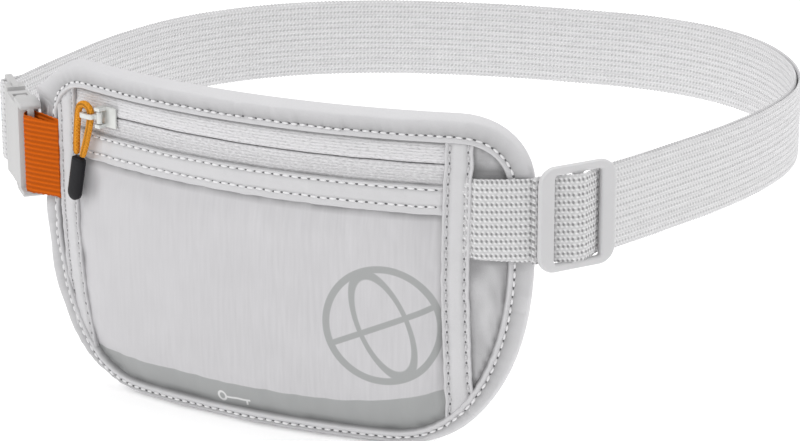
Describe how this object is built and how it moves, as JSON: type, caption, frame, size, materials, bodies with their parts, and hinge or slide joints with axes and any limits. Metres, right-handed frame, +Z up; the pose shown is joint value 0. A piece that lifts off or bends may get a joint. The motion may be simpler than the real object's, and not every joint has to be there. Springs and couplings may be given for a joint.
{
  "type": "money belt",
  "caption": "Slim curved waist pouch with a zipped pocket on a doubled webbing belt, with a three-bar glide for length and a side-release buckle.",
  "frame": {"origin": "middle of the waist loop in plan, at the height of the middle of the webbing", "axes": "+Z up as worn, +X to the right as the pouch's front is seen, the pouch's front faces -Y"},
  "size_m": [0.2849, 0.2583, 0.1263],
  "materials": {
    "pouch_fabric": "silky light grey ripstop-like weave",
    "liner_foil": "metallised lining cloth",
    "zip_tape": "fine horizontal ribs",
    "zip_plastic": "satin nylon coil",
    "webbing": "ribbed light grey webbing",
    "orange_webbing": "ribbed orange webbing",
    "orange_cord": "braided orange cord",
    "grip_rubber": "satin black",
    "clear_plastic": "translucent, satin",
    "buckle_plastic": "satin light grey",
    "slider_metal": "satin silver"
  },
  "bodies": {
    "pouch": {"back_panel": "pouch_fabric", "rfid_liner": "liner_foil", "front_panel": "pouch_fabric", "wing_left": "pouch_fabric", "wing_right": "pouch_fabric", "zip_facing": "pouch_fabric", "strip_left": "pouch_fabric", "strip_right": "pouch_fabric", "edge_binding": "pouch_fabric", "zip_tape_upper": "zip_tape", "zip_tape_lower": "zip_tape", "zip_coil_upper": "zip_plastic", "zip_coil_lower": "zip_plastic", "zip_top_stop": "slider_metal", "zip_bottom_stop": "slider_metal", "anchor_webbing": "webbing", "glide_webbing_outer": "webbing", "glide_webbing_inner": "webbing", "webbing_outer": "webbing", "webbing_inner": "webbing", "clip_webbing_outer": "webbing", "clip_webbing_inner": "webbing", "buckle_loop": "orange_webbing", "buckle_socket": "buckle_plastic"},
    "slider": {"zip_slider": "slider_metal"},
    "tab": {"pull_tab": "slider_metal"},
    "puller": {"puller_cord": "orange_cord", "puller_grip": "grip_rubber"},
    "glide": {"tri_glide": "clear_plastic", "webbing_bight": "webbing"},
    "clip": {"buckle_clip": "buckle_plastic", "webbing_eye": "webbing"},
    "prong_up": {"prong_upper": "buckle_plastic"},
    "prong_down": {"prong_lower": "buckle_plastic"}
  },
  "joints": [
    {"name": "zip_travel", "type": "hinge", "parent": "pouch", "child": "slider", "pos_m": [0, 0.143, 0], "axis": [0, 0, 1], "range_deg": [0, 28]},
    {"name": "tab_flip", "type": "hinge", "parent": "slider", "child": "tab", "pos_m": [-0.06745, -0.11204, 0.0216], "axis": [0, 0, 1], "range_deg": [0, 150]},
    {"name": "puller_swing", "type": "hinge", "parent": "tab", "child": "puller", "pos_m": [-0.0752, -0.11006, 0.0216], "axis": [-0.2474, -0.9689, 0], "range_deg": [-15, 15]},
    {"name": "glide_slide", "type": "slide", "parent": "pouch", "child": "glide", "axis": [0.5464, 0.8375, 0], "range_m": [0, 0.025], "deforming": ["glide_webbing_outer", "glide_webbing_inner"]},
    {"name": "clip_slide", "type": "slide", "parent": "pouch", "child": "clip", "axis": [-0.7071, 0.7071, 0], "range_m": [0, 0.028], "deforming": ["prong_upper", "prong_lower", "clip_webbing_outer", "clip_webbing_inner"]},
    {"name": "prong_up_pinch", "type": "hinge", "parent": "clip", "child": "prong_up", "pos_m": [-0.1261, -0.07951, 0.0098], "axis": [0.7071, 0.7071, 0], "range_deg": [0, 18], "stiffness_Nm_per_rad": 0.05},
    {"name": "prong_down_pinch", "type": "hinge", "parent": "clip", "child": "prong_down", "pos_m": [-0.1261, -0.07951, -0.0098], "axis": [0.7071, 0.7071, 0], "range_deg": [-18, 0], "stiffness_Nm_per_rad": 0.05}
  ],
  "couplings": [
    {"joint": "prong_down_pinch", "follows": "prong_up_pinch", "ratio": -1}
  ]
}
